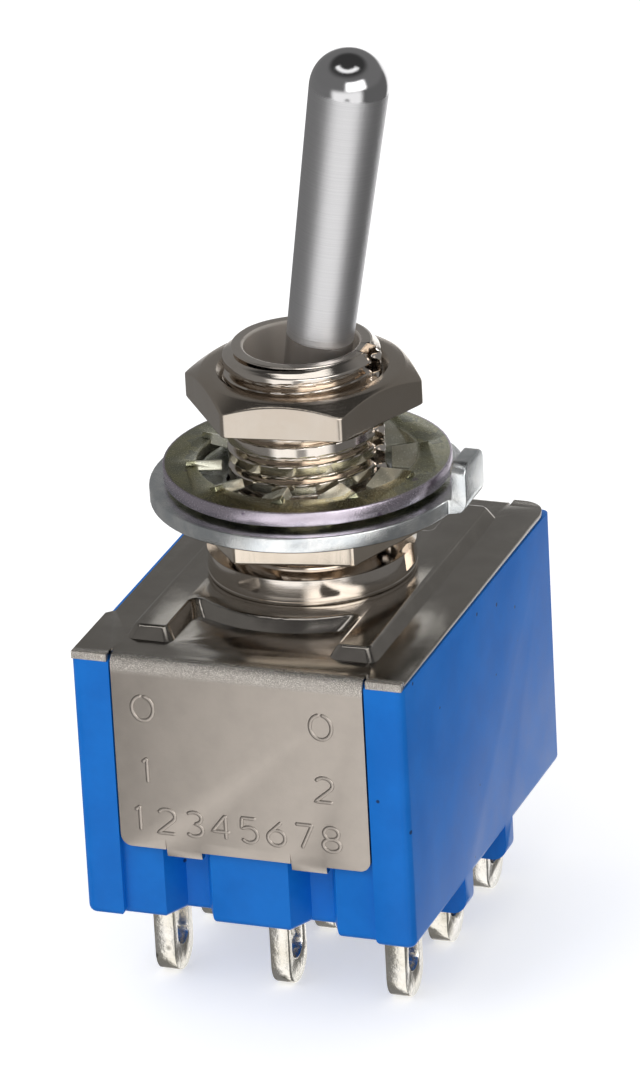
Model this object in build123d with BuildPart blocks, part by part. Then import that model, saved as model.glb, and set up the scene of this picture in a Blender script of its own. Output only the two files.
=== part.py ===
from build123d import *
from math import sqrt, sin, cos, tan, radians
import os

# Three-pole, two-position miniature toggle switch. Millimetres.
# X is the direction that the lever throws in, Y runs along the poles, Z is up the bushing.
# The origin is on the bushing's axis at the lock washer's upper face, where a panel seats.

os.makedirs("parts", exist_ok=True)

# ---- moulded case ----
case_x = 13.2
case_y = 17.4
case_z = 10.65
case_corner_r = 0.35
side_wall = 1.2
end_wall = 2.2
floor_t = 2.45
partition_t = 0.9
rib_t = 0.9
rib_drop = 1.3
rib_corner_r = 0.6
notch_outer = 3.60
notch_inner = 1.41
notch_back_w = 0.9
notch_depth = 1.3
notch_h = 3.9
case_edge_r = 0.3

# ---- poles ----
pole_pitch = 4.8
throw_pitch = 4.7
poles = (-1, 0, 1)
pole_names = ("front", "middle", "rear")

# ---- frame ----
sheet_t = 0.3
bend_r = 0.4
plate_edge_gap = 0.05
plate_step = 0.3
plate_step_y = 5.1
plate_corner_r = 1.0
leg_x = 10.0
leg_z = 7.57
leg_corner_r = 0.45
leg_clearance = 0.07
relief_w = 0.15
relief_l = 0.6
platform_x = 10.0
platform_y = 14.2
platform_rise = 0.5
platform_slope = 0.3
platform_edge_r = 0.18
platform_arc_r = 5.35
platform_corner_r = 0.35
platform_corner_loss = 1 / 3
valley_x = 6.2
tongue_x = 2.5
tongue_w = 1.4
tongue_drop = 0.33
tongue_in = 0.14
tongue_bend_z = 0.45

# ---- bushing ----
thread_r = 3.0
thread_neck_r = 2.75
collar_r = 4.0
collar_h = 1.07
neck_h = 0.45
bushing_above_seat = 4.67
rim_chamfer = 0.35
mouth_r = 2.18
mouth_chamfer = 0.12
spigot_r = 3.2
staked_r = 3.75
staked_t = 0.35
keyway_w = 1.0
keyway_depth = 0.5
collar_nick = 0.3
collar_nick_z = 0.75

# ---- parked hardware ----
nut_flats = 8.0
nut_t = 1.4
nut_chamfer_r = 3.85
nut_chamfer_angle = 32
nut_gap = 0.05
lower_nut_lift = 0.6
lower_nut_turn = 10.8
upper_nut_turn = 8.0
panel_gap = 2.3
ring_r = 6.05
ring_bore_r = 3.1
ring_t = 0.62
ring_key_w = 0.8
ring_key_gap = 0.1
tab_w = 2.1
tab_reach = 0.65
tab_rise = 1.45
tab_corner_r = 0.5
washer_r = 5.5
washer_t = 0.57
washer_root_r = 4.2
washer_tip_r = 3.2
tooth_count = 10
tooth_w = 1.5
tooth_tip_w = 1.05
tooth_twist = 24
tooth_t = 0.4
washer_lift = 0.22

# ---- lever ----
lever_tilt = 9.4
pivot_above_case = 5.55
lever_l = 16.5
lever_tip_r = 1.5
lever_mouth_r = 1.27
lever_root_r = 1.2
ball_r = 2.35
ball_flat_y = 2.0
ball_gap = 0.05
tail_neck_r = 0.6
tail_ball_r = 0.9

# ---- drive bar and plungers ----
bar_x = 5.8
bar_end_gap = 0.1
bar_top_gap = 0.1
bar_z = 5.2
bar_corner_r = 0.4
tail_depth = 1.8
socket_gap = 0.03
socket_floor_gap = 0.25
socket_web = 0.4
plunger_r = 0.9
plunger_gap = 0.05
plunger_wall = 0.3
plunger_tip_z = 0.85
plunger_head_room = 0.35
partition_gap = 0.05
spring_wire_r = 0.08
spring_turns = 5
spring_side_gap = 0.05
spring_end_gap = 0.02

# ---- rockers and terminals ----
rocker_t = 0.3
rocker_w = 1.9
rocker_reach = 4.5
rocker_half_throw = 7.0
trunnion_r = 0.3
trunnion_gap = 0.03
plunger_touch_gap = 0.04
contact_gap = 0.01
contact_x = 3.9
contact_r = 0.75
contact_h = 0.25
shelf_t = 0.4
shelf_inner_x = 3.1
lug_t = 0.8
lug_w = 2.0
lug_drop = 3.92
lug_eye_w = 1.15
lug_eye_end = 1.05
cradle_x = 2.6
cradle_base_t = 0.4
ear_t = 0.3
ear_gap = 0.1
ear_above_trunnion = 0.25

# ---- heights that follow from the stack ----
seat_above_case = (
    sheet_t + platform_rise + collar_h + lower_nut_lift + nut_t + ring_t
    + washer_lift + washer_t
)
case_top = -seat_above_case
plate_top = case_top + sheet_t
platform_top = plate_top + platform_rise
collar_top = platform_top + collar_h
lower_nut_z = collar_top + lower_nut_lift
ring_z = lower_nut_z + nut_t
washer_z = -washer_t
upper_nut_z = panel_gap
bushing_top = bushing_above_seat
pivot_z = case_top + pivot_above_case
floor_top = case_top - case_z + floor_t
case_bottom = case_top - case_z
bar_top = case_top - bar_top_gap
bar_bottom = bar_top - bar_z
partition_top = bar_bottom - partition_gap
cavity_x = case_x - 2 * side_wall
cavity_y = case_y - 2 * end_wall
leg_y = case_y / 2

# The lever's tail moves the bar sideways by this much each way from the middle.
tail_l = pivot_above_case + bar_top_gap + tail_depth
throw_x = tail_l * sin(radians(lever_tilt))
socket_floor_z = pivot_z - tail_l - tail_ball_r - socket_floor_gap
bore_ceiling_z = socket_floor_z - socket_web
plunger_tip = bar_bottom - plunger_tip_z
plunger_top = bore_ceiling_z - plunger_head_room
rocker_top = plunger_tip - plunger_touch_gap
rocker_pivot_z = rocker_top - rocker_t
contact_top = rocker_pivot_z - contact_gap


# ---------------------------------------------------------------- case
with BuildPart() as case:
    with BuildSketch(Plane.XY.offset(case_bottom)):
        RectangleRounded(case_x, case_y, case_corner_r)
    extrude(amount=case_z)
    # trapezoid notches in both ends, where the legs' tongues are crimped in
    with BuildSketch(Plane.XY.offset(case_bottom)):
        with BuildLine():
            Polyline(
                (notch_inner, -case_y / 2 - 1),
                (notch_outer, -case_y / 2 - 1),
                (notch_outer, -case_y / 2),
                ((notch_outer + notch_inner + notch_back_w) / 2, notch_depth - case_y / 2),
                ((notch_outer + notch_inner - notch_back_w) / 2, notch_depth - case_y / 2),
                (notch_inner, -case_y / 2),
                close=True,
            )
        make_face()
        mirror(about=Plane.YZ)
        mirror(about=Plane.XZ)
    extrude(amount=notch_h, mode=Mode.SUBTRACT)
    # shallow recess for each leg
    with BuildSketch(Plane.XY.offset(case_bottom)):
        with Locations((0, -case_y / 2), (0, case_y / 2)):
            Rectangle(leg_x + 2 * leg_clearance, 2 * sheet_t)
    extrude(amount=case_z, mode=Mode.SUBTRACT)
    rim = case.faces().sort_by(Axis.Z)[0].outer_wire().edges()
    fillet(rim, case_edge_r)
    # cavity, open at the top
    with BuildSketch(Plane.XY.offset(floor_top)):
        Rectangle(cavity_x, cavity_y)
    extrude(amount=case_z, mode=Mode.SUBTRACT)
    # walls between the poles, up to the drive bar
    with BuildSketch(Plane.XY.offset(floor_top)):
        with GridLocations(0, pole_pitch, 1, 2):
            Rectangle(cavity_x, partition_t)
    extrude(amount=partition_top - floor_top)
    # ribs under the floor, between the rows of lugs
    for side in (-1, 1):
        with BuildSketch(Plane.XZ.offset(-side * pole_pitch / 2)):
            with Locations((0, case_bottom - rib_drop)):
                rib_face = Rectangle(
                    case_x, rib_drop + case_edge_r, align=(Align.CENTER, Align.MIN)
                )
            fillet(rib_face.vertices().group_by(Axis.Y)[0], rib_corner_r)
        extrude(amount=rib_t / 2, both=True)
    # slots for the nine terminals
    with BuildSketch(Plane.XY.offset(case_bottom)):
        with GridLocations(throw_pitch, pole_pitch, 3, 3):
            Rectangle(lug_t, lug_w)
    extrude(amount=floor_t, mode=Mode.SUBTRACT)
case.part.label = "case"
export_step(case.part, "parts/case.step")


# ---------------------------------------------------------------- frame
def platform_outline(inset):
    """Raised area: a rectangle with a valley at each end, cut to an arc about the bushing."""
    Rectangle(platform_x - 2 * inset, platform_y - 2 * inset)
    valley = Rectangle(valley_x + 2 * inset, 2 * platform_y, mode=Mode.PRIVATE)
    add(valley - Circle(platform_arc_r - inset, mode=Mode.PRIVATE), mode=Mode.SUBTRACT)


with BuildPart() as frame:
    # one strip folded down at both ends
    with BuildSketch(Plane.YZ) as strap:
        with Locations((0, plate_top)):
            Rectangle(case_y, leg_z + sheet_t, align=(Align.CENTER, Align.MAX))
        fillet(strap.vertices().group_by(Axis.Y)[-1], bend_r)
        with Locations((0, case_top)):
            Rectangle(
                case_y - 2 * sheet_t, leg_z, align=(Align.CENTER, Align.MAX), mode=Mode.SUBTRACT
            )
    extrude(amount=leg_x / 2, both=True)
    leg_ends = frame.edges().filter_by(Axis.Y).group_by(Axis.Z)[0]
    fillet(leg_ends, leg_corner_r)
    # tongues: the leg's edge is pressed in, into the case's notches
    for side_x in (-tongue_x, tongue_x):
        for end in (-1, 1):
            tongue_top = case_top - leg_z + tongue_bend_z
            tongue_foot = case_top - leg_z - tongue_drop
            with BuildSketch(Plane.YZ.offset(side_x)):
                with Locations((end * leg_y, tongue_top)):
                    Rectangle(3 * sheet_t, 2 * tongue_bend_z, align=(Align.CENTER, Align.MAX))
            extrude(amount=tongue_w / 2, both=True, mode=Mode.SUBTRACT)
            with BuildSketch(Plane.YZ.offset(side_x)):
                with BuildLine():
                    Polyline(
                        (end * leg_y, tongue_top),
                        (end * (leg_y - tongue_in), tongue_foot),
                        (end * (leg_y - tongue_in - sheet_t), tongue_foot),
                        (end * (leg_y - sheet_t), tongue_top),
                        close=True,
                    )
                make_face()
            extrude(amount=tongue_w / 2, both=True)
    # plate with a wing beside each leg, freed from the fold by a slit
    with BuildSketch(Plane.XY.offset(case_top)) as plate:
        with BuildLine():
            half_x = case_x / 2 - plate_edge_gap
            Polyline(
                (half_x, -leg_y),
                (half_x, leg_y),
                (plate_step - half_x, leg_y),
                (plate_step - half_x, plate_step - plate_step_y),
                (-half_x, -plate_step_y),
                (-half_x, -leg_y),
                close=True,
            )
        make_face()
        fillet(plate.vertices().group_by(Axis.Y)[-1], plate_corner_r)
        with GridLocations(0, case_y, 1, 2):
            Rectangle(leg_x + 2 * relief_w, 2 * relief_l, mode=Mode.SUBTRACT)
    extrude(amount=sheet_t)
    # embossed platform and the hollow under it
    for base_z, inset, mode in ((plate_top, 0, Mode.ADD), (case_top, sheet_t, Mode.SUBTRACT)):
        for step in (0, 1):
            with BuildSketch(Plane.XY.offset(base_z + step * platform_rise)) as raised:
                shrink = inset + step * platform_slope
                platform_outline(shrink)
                fillet(raised.vertices(), platform_corner_r - shrink * platform_corner_loss)
        loft(ruled=True, mode=mode)
    # the crease where the raised area's top meets its slope is rounded
    platform_rim = frame.faces().filter_by_position(Axis.Z, platform_top, platform_top).sort_by(SortBy.AREA)[-1]
    fillet(platform_rim.outer_wire().edges(), platform_edge_r)
    # hole that the bushing is staked into
    with BuildSketch(Plane.XY.offset(case_top)):
        Circle(spigot_r)
    extrude(amount=2 * platform_rise + sheet_t, mode=Mode.SUBTRACT)
frame.part.label = "frame"
export_step(frame.part, "parts/frame.step")


# ---------------------------------------------------------------- bushing
seat_r = ball_r + ball_gap
seat_z = pivot_z + sqrt(seat_r**2 - mouth_r**2)
staked_z = platform_top - sheet_t
staked_foot = staked_z - staked_t
thread_z = collar_top + neck_h
with BuildPart() as bushing:
    with BuildSketch(Plane.XZ):
        with BuildLine():
            Polyline(
                (0, staked_foot),
                (staked_r, staked_foot),
                (staked_r, staked_z),
                (spigot_r, staked_z),
                (spigot_r, platform_top),
                (collar_r, platform_top),
                (collar_r, collar_top),
                (thread_neck_r, collar_top),
                (thread_neck_r, thread_z - (thread_r - thread_neck_r)),
                (thread_r, thread_z),
                (thread_r, bushing_top - rim_chamfer),
                (thread_r - rim_chamfer, bushing_top),
                (0, bushing_top),
                close=True,
            )
        make_face()
    revolve(axis=Axis.Z)
    # ball socket: flats each side keep the lever from turning
    with BuildSketch(Plane.XZ):
        with BuildLine():
            Polyline((0, seat_z), (0, staked_foot), (seat_r, staked_foot), (seat_r, pivot_z))
            CenterArc((0, pivot_z), seat_r, 0, 90)
            Line((0, pivot_z + seat_r), (0, seat_z))
        make_face()
    socket_cut = revolve(axis=Axis.Z, mode=Mode.PRIVATE)
    with BuildSketch(Plane.XY.offset(staked_foot)):
        Rectangle(2 * seat_r, 2 * (ball_flat_y + ball_gap))
    flats = extrude(amount=pivot_z + seat_r - staked_foot, mode=Mode.PRIVATE)
    add(socket_cut & flats, mode=Mode.SUBTRACT)
    # mouth
    with BuildSketch(Plane.XY.offset(seat_z)):
        Circle(mouth_r)
    extrude(amount=bushing_top, mode=Mode.SUBTRACT)
    mouth_rim = bushing.edges().filter_by(GeomType.CIRCLE).group_by(Axis.Z)[-1]
    chamfer(mouth_rim.sort_by(SortBy.RADIUS)[0], mouth_chamfer)
    # keyway down the thread, and where its cutter ran into the collar
    with BuildSketch(Plane.XY.offset(collar_top)):
        with Locations((thread_r - keyway_depth, 0)):
            Rectangle(collar_r, keyway_w, align=(Align.MIN, Align.CENTER))
    extrude(amount=bushing_top - collar_top, mode=Mode.SUBTRACT)
    with BuildSketch(Plane.XY.offset(collar_top - collar_nick_z)):
        with Locations((collar_r - collar_nick, 0)):
            Rectangle(collar_r, keyway_w, align=(Align.MIN, Align.CENTER))
    extrude(amount=collar_nick_z, mode=Mode.SUBTRACT)
bushing.part.label = "bushing"
export_step(bushing.part, "parts/bushing.step")


# ---------------------------------------------------------------- nuts
def nut_solid(base_z, turn):
    """Hexagon nut with its upper corners chamfered, running on the thread."""
    with BuildPart() as nut:
        with BuildSketch(Plane.XY.offset(base_z)):
            RegularPolygon(nut_flats / 2, 6, major_radius=False, rotation=turn)
            Circle(thread_r + nut_gap, mode=Mode.SUBTRACT)
        extrude(amount=nut_t)
        with BuildSketch(Plane.XZ):
            with BuildLine():
                reach = nut_flats - nut_chamfer_r
                Polyline(
                    (nut_chamfer_r, base_z + nut_t),
                    (nut_flats, base_z + nut_t),
                    (nut_flats, base_z + nut_t - reach * tan(radians(nut_chamfer_angle))),
                    close=True,
                )
            make_face()
        revolve(axis=Axis.Z, mode=Mode.SUBTRACT)
    return nut


for label, base_z, turn in (
    ("lower_nut", lower_nut_z, lower_nut_turn),
    ("upper_nut", upper_nut_z, upper_nut_turn),
):
    nut = nut_solid(base_z, turn)
    nut.part.label = label
    export_step(nut.part, f"parts/{label}.step")


# ---------------------------------------------------------------- locating ring
tab_x = ring_r + tab_reach
with BuildPart() as locating_ring:
    with BuildSketch(Plane.XY.offset(ring_z)):
        Circle(ring_r)
        Circle(ring_bore_r, mode=Mode.SUBTRACT)
        # key that runs in the bushing's keyway
        with Locations((thread_r - keyway_depth + ring_key_gap, 0)):
            Rectangle(2 * keyway_depth, ring_key_w, align=(Align.MIN, Align.CENTER))
    extrude(amount=ring_t)
    # tab bent up outside the rim
    with BuildSketch(Plane.XZ) as tab:
        with Locations((tab_x, ring_z)):
            Rectangle(2 * tab_reach, ring_t + tab_rise - tab_corner_r, align=(Align.MAX, Align.MIN))
        with Locations((tab_x - ring_t, ring_z + ring_t)):
            Rectangle(2 * tab_reach, tab_rise, align=(Align.MAX, Align.MIN), mode=Mode.SUBTRACT)
        foot = tab.vertices().sort_by_distance((tab_x, ring_z))[0]
        fillet(foot, ring_t)
    extrude(amount=tab_w / 2, both=True)
    with BuildSketch(Plane.YZ.offset(tab_x - ring_t)) as tab_end:
        with Locations((0, ring_z + ring_t)):
            Rectangle(tab_w, tab_rise, align=(Align.CENTER, Align.MIN))
        fillet(tab_end.vertices().group_by(Axis.Y)[-1], tab_corner_r)
    extrude(amount=ring_t)
locating_ring.part.label = "locating_ring"
export_step(locating_ring.part, "parts/locating_ring.step")


# ---------------------------------------------------------------- lock washer
tooth_l = washer_root_r - washer_tip_r
with BuildPart() as lock_washer:
    with BuildSketch(Plane.XY.offset(washer_z)):
        Circle(washer_r)
        Circle(washer_root_r, mode=Mode.SUBTRACT)
    extrude(amount=washer_t)
    for turn in range(tooth_count):
        twist = Location((0, 0, washer_z + washer_t / 2), (0, 0, 360 / tooth_count * (turn + 0.5)))
        twist = twist * Location((washer_tip_r, 0, 0), (tooth_twist, 0, 0))
        with BuildSketch(Plane(twist)):
            with BuildLine():
                Polyline(
                    (0, -tooth_tip_w / 2),
                    (0, tooth_tip_w / 2),
                    (tooth_l + tooth_t, tooth_w / 2),
                    (tooth_l + tooth_t, -tooth_w / 2),
                    close=True,
                )
            make_face()
        extrude(amount=tooth_t / 2, both=True)
lock_washer.part.label = "lock_washer"
export_step(lock_washer.part, "parts/lock_washer.step")


# ---------------------------------------------------------------- lever
lean = radians(lever_tilt)
lever_plane = Plane(origin=(0, 0, pivot_z), x_dir=(cos(lean), 0, -sin(lean)), z_dir=(0, -1, 0))
lever_axis = Axis((0, 0, pivot_z), (sin(lean), 0, cos(lean)))
mouth_l = bushing_top - pivot_z
ball_join = sqrt(ball_r**2 - lever_root_r**2)
neck_join = sqrt(ball_r**2 - tail_neck_r**2)
tail_join = tail_l - sqrt(tail_ball_r**2 - tail_neck_r**2)
with BuildPart() as lever:
    with BuildSketch(lever_plane):
        with BuildLine():
            Line((0, -tail_l - tail_ball_r), (0, lever_l))
            CenterArc((0, lever_l - lever_tip_r), lever_tip_r, 0, 90)
            Polyline(
                (lever_tip_r, lever_l - lever_tip_r),
                (lever_mouth_r, mouth_l),
                (lever_root_r, ball_join),
            )
            ThreePointArc((lever_root_r, ball_join), (ball_r, 0), (tail_neck_r, -neck_join))
            Line((tail_neck_r, -neck_join), (tail_neck_r, -tail_join))
            ThreePointArc(
                (tail_neck_r, -tail_join), (tail_ball_r, -tail_l), (0, -tail_l - tail_ball_r)
            )
        make_face()
    revolve(axis=lever_axis)
    # flats on the ball
    with BuildSketch(Plane.XZ.offset(ball_flat_y)):
        with Locations((0, pivot_z)):
            Circle(2 * ball_r)
    extrude(amount=ball_r, mode=Mode.SUBTRACT)
    with BuildSketch(Plane.XZ.offset(-ball_flat_y)):
        with Locations((0, pivot_z)):
            Circle(2 * ball_r)
    extrude(amount=-ball_r, mode=Mode.SUBTRACT)
lever.part.label = "lever"
export_step(lever.part, "parts/lever.step")


# ---------------------------------------------------------------- drive bar
bore_r = plunger_r + plunger_gap
with BuildPart() as drive_bar:
    with BuildSketch(Plane.XY.offset(bar_bottom)):
        with Locations((-throw_x, 0)):
            RectangleRounded(bar_x, cavity_y - 2 * bar_end_gap, bar_corner_r)
    extrude(amount=bar_z)
    # socket for the lever's tail
    with BuildSketch(Plane.XY.offset(socket_floor_z)):
        with Locations((-throw_x, 0)):
            Rectangle(2 * (tail_ball_r + socket_gap), 2 * (tail_ball_r + 2 * socket_gap))
    extrude(amount=bar_top - socket_floor_z, mode=Mode.SUBTRACT)
    # a blind bore under it for each pole's plunger
    with BuildSketch(Plane.XY.offset(bar_bottom)):
        with Locations(*[(-throw_x, pole * pole_pitch) for pole in poles]):
            Circle(bore_r)
    extrude(amount=bore_ceiling_z - bar_bottom, mode=Mode.SUBTRACT)
drive_bar.part.label = "drive_bar"
export_step(drive_bar.part, "parts/drive_bar.step")


# ---------------------------------------------------------------- plungers and springs
cup_r = plunger_r - plunger_wall
cup_floor = plunger_tip + plunger_r
spring_z = cup_floor + spring_end_gap + spring_wire_r
spring_h = bore_ceiling_z - spring_end_gap - spring_wire_r - spring_z
spring_r = cup_r - spring_side_gap - spring_wire_r
for pole, pole_name in zip(poles, pole_names):
    pole_plane = Plane(
        origin=(-throw_x, pole * pole_pitch, 0), x_dir=(1, 0, 0), z_dir=(0, -1, 0)
    )
    pole_axis = Axis((-throw_x, pole * pole_pitch, 0), (0, 0, 1))
    with BuildPart() as plunger:
        with BuildSketch(pole_plane):
            with BuildLine():
                CenterArc((0, plunger_tip + plunger_r), plunger_r, -90, 90)
                Polyline(
                    (plunger_r, plunger_tip + plunger_r),
                    (plunger_r, plunger_top),
                    (cup_r, plunger_top),
                    (cup_r, cup_floor),
                    (0, cup_floor),
                    (0, plunger_tip),
                )
            make_face()
        revolve(axis=pole_axis)
    plunger.part.label = f"plunger_{pole_name}"
    export_step(plunger.part, f"parts/plunger_{pole_name}.step")

    with BuildPart() as spring:
        with BuildLine(Plane((-throw_x, pole * pole_pitch, spring_z))):
            coil = Helix(pitch=spring_h / spring_turns, height=spring_h, radius=spring_r)
        with BuildSketch(Plane(origin=coil @ 0, z_dir=coil % 0)):
            Circle(spring_wire_r)
        sweep(is_frenet=True)
    spring.part.label = f"plunger_spring_{pole_name}"
    export_step(spring.part, f"parts/plunger_spring_{pole_name}.step")


# ---------------------------------------------------------------- rockers
def arm_point(along, up, side):
    """A point of the V strip, level on its low side: along the arm, up from its underside."""
    turn = radians(0 if side < 0 else 2 * rocker_half_throw)
    return (
        side * (along * cos(turn) - up * sin(turn)),
        rocker_pivot_z + along * sin(turn) + up * cos(turn),
    )


for pole, pole_name in zip(poles, pole_names):
    with BuildPart() as rocker:
        with BuildSketch(Plane.XZ.offset(-pole * pole_pitch)):
            with BuildLine():
                Polyline(
                    arm_point(rocker_reach, 0, -1),
                    (0, rocker_pivot_z),
                    arm_point(rocker_reach, 0, 1),
                    arm_point(rocker_reach, rocker_t, 1),
                    (-rocker_t * tan(radians(rocker_half_throw)), rocker_pivot_z + rocker_t),
                    arm_point(rocker_reach, rocker_t, -1),
                    close=True,
                )
            make_face()
        extrude(amount=rocker_w / 2, both=True)
        # trunnion that rocks in the cradle's notches
        with BuildSketch(Plane.XZ.offset(-pole * pole_pitch)):
            with Locations((0, rocker_pivot_z)):
                Circle(trunnion_r)
        extrude(amount=rocker_w / 2 + ear_gap + ear_t, both=True)
    rocker.part.label = f"rocker_{pole_name}"
    export_step(rocker.part, f"parts/rocker_{pole_name}.step")


# ---------------------------------------------------------------- terminals
def lug(x, y, top_z):
    """Blade from the contact down to the slotted solder lug."""
    tip_z = case_bottom - lug_drop
    with BuildSketch(Plane.YZ.offset(x)) as blade:
        with Locations((y, tip_z + lug_w / 2)):
            Circle(lug_w / 2)
            Rectangle(lug_w, top_z - tip_z - lug_w / 2, align=(Align.CENTER, Align.MIN))
        # the eye's upper end is just inside the case
        eye_h = lug_drop - lug_eye_end + case_edge_r
        with Locations((y, tip_z + lug_eye_end + eye_h / 2)):
            SlotOverall(eye_h, lug_eye_w, rotation=90, mode=Mode.SUBTRACT)
    extrude(blade.sketch, amount=lug_t / 2, both=True)


for pole, pole_name in zip(poles, pole_names):
    y = pole * pole_pitch
    for side, side_name in ((-1, "left"), (1, "right")):
        with BuildPart() as terminal:
            lug(side * throw_pitch, y, contact_top - contact_h)
            # folded shelf with the contact button on it
            with BuildSketch(Plane.XY.offset(contact_top - contact_h)):
                with Locations((side * shelf_inner_x, y)):
                    shelf_l = throw_pitch + lug_t / 2 - shelf_inner_x
                    near = Align.MIN if side > 0 else Align.MAX
                    Rectangle(shelf_l, lug_w, align=(near, Align.CENTER))
            extrude(amount=-shelf_t)
            with BuildSketch(Plane.XY.offset(contact_top - contact_h)):
                with Locations((side * contact_x, y)):
                    Circle(contact_r)
            extrude(amount=contact_h)
        terminal.part.label = f"terminal_{pole_name}_{side_name}"
        export_step(terminal.part, f"parts/{terminal.part.label}.step")

    with BuildPart() as common:
        lug(0, y, floor_top)
        cradle_y = rocker_w + 2 * (ear_gap + ear_t)
        with BuildSketch(Plane.XY.offset(floor_top)):
            with Locations((0, y)):
                Rectangle(cradle_x, cradle_y)
        extrude(amount=cradle_base_t)
        ear_top = rocker_pivot_z + ear_above_trunnion
        for face in (-1, 1):
            ear_y = y + face * (cradle_y - ear_t) / 2
            with BuildSketch(Plane.XZ.offset(-ear_y)) as ear:
                with Locations((0, floor_top)):
                    Rectangle(cradle_x, ear_top - floor_top, align=(Align.CENTER, Align.MIN))
                with Locations((0, rocker_pivot_z)):
                    Circle(trunnion_r + trunnion_gap, mode=Mode.SUBTRACT)
                    Rectangle(
                        2 * (trunnion_r + trunnion_gap),
                        2 * ear_above_trunnion,
                        align=(Align.CENTER, Align.MIN),
                        mode=Mode.SUBTRACT,
                    )
            extrude(amount=ear_t / 2, both=True)
    common.part.label = f"terminal_{pole_name}_common"
    export_step(common.part, f"parts/{common.part.label}.step")
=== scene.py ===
import math

import bmesh
import bpy
import numpy as np
from mathutils import Euler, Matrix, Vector


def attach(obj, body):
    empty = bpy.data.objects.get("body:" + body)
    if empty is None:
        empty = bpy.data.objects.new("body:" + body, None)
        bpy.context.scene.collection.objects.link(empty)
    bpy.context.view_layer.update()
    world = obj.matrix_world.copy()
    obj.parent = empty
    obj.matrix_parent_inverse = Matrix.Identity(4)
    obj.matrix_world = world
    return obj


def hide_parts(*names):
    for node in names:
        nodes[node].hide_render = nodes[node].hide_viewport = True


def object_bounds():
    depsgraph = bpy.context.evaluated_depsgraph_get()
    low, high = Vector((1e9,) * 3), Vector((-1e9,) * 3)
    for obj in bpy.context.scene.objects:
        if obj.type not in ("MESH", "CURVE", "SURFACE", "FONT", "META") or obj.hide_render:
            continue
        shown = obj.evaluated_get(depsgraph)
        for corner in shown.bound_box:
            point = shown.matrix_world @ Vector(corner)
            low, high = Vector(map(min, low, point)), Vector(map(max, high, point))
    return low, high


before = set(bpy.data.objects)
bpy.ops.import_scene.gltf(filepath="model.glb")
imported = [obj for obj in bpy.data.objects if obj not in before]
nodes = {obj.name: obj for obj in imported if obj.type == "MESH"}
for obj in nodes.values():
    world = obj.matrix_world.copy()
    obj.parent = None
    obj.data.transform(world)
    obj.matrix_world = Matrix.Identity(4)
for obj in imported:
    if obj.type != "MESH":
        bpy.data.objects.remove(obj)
mm = 0.001


def allBounds():
    low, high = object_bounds()
    return [list(map(float, low)), list(map(float, high))]


cadBox = allBounds()
print("frame loaded", len(nodes), "nodes")


# Colours are given in display values, and shaders want them linear.
def tint(red, green, blue):
    channel = np.array([red, green, blue]) / 255.0
    linear = np.where(channel <= 0.04045, channel / 12.92, ((channel + 0.055) / 1.055) ** 2.4)
    return (float(linear[0]), float(linear[1]), float(linear[2]), 1.0)


# A grid of points becomes quads; it wraps round where it is told to, and merged doubles close its poles.
def gridPiece(name, points, wrapU=False, wrapV=False, smooth=True):
    countU, countV = points.shape[:2]
    u = np.arange(countU if wrapU else countU - 1)
    v = np.arange(countV if wrapV else countV - 1)
    uu, vv = np.meshgrid(u, v, indexing="ij")
    un, vn = (uu + 1) % countU, (vv + 1) % countV
    quads = np.stack([uu * countV + vv, un * countV + vv, un * countV + vn, uu * countV + vn], axis=-1)
    mesh = bpy.data.meshes.new(name)
    mesh.from_pydata(points.reshape(-1, 3).tolist(), [], quads.reshape(-1, 4).tolist())
    work = bmesh.new()
    work.from_mesh(mesh)
    bmesh.ops.remove_doubles(work, verts=work.verts, dist=1e-7)
    bmesh.ops.recalc_face_normals(work, faces=work.faces)
    work.to_mesh(mesh)
    work.free()
    mesh.polygons.foreach_set("use_smooth", [smooth] * len(mesh.polygons))
    piece = bpy.data.objects.new(name, mesh)
    bpy.context.scene.collection.objects.link(piece)
    return piece


def autoSmooth(piece, degrees):
    piece.data.set_sharp_from_angle(angle=math.radians(degrees))


# The model's own node with its edges eased: doubles merged, flat facets joined, then a fine bevel.
def easedCopy(name, width, segments=2, degrees=28):
    mesh = nodes[name].data.copy()
    work = bmesh.new()
    work.from_mesh(mesh)
    bmesh.ops.remove_doubles(work, verts=work.verts, dist=2e-6)
    bmesh.ops.dissolve_limit(
        work, angle_limit=math.radians(0.4), use_dissolve_boundaries=False,
        verts=work.verts, edges=work.edges, delimit={"NORMAL"},
    )
    work.to_mesh(mesh)
    work.free()
    mesh.polygons.foreach_set("use_smooth", [True] * len(mesh.polygons))
    piece = bpy.data.objects.new(name + "Eased", mesh)
    bpy.context.scene.collection.objects.link(piece)
    bevel = piece.modifiers.new("edges", "BEVEL")
    bevel.width = width
    bevel.segments = segments
    bevel.limit_method = "ANGLE"
    bevel.angle_limit = math.radians(degrees)
    bevel.harden_normals = True
    bevel.miter_outer = "MITER_ARC"
    bevel.use_clamp_overlap = True
    return piece


def place(piece, body, material, node=None):
    piece.data.materials.clear()
    piece.data.materials.append(material)
    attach(piece, body)
    if node:
        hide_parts(node)
    return piece


def addNode(tree, kind, **values):
    node = tree.nodes.new(kind)
    for key, value in values.items():
        if hasattr(node, key):
            setattr(node, key, value)
        else:
            node.inputs[key].default_value = value
    return node


def math2(tree, operation, first, second=None, clamp=False):
    node = tree.nodes.new("ShaderNodeMath")
    node.operation = operation
    node.use_clamp = clamp
    for index, value in enumerate((first, second)):
        if value is None:
            continue
        if isinstance(value, (int, float)):
            node.inputs[index].default_value = value
        else:
            tree.links.new(value, node.inputs[index])
    return node.outputs[0]


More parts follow.
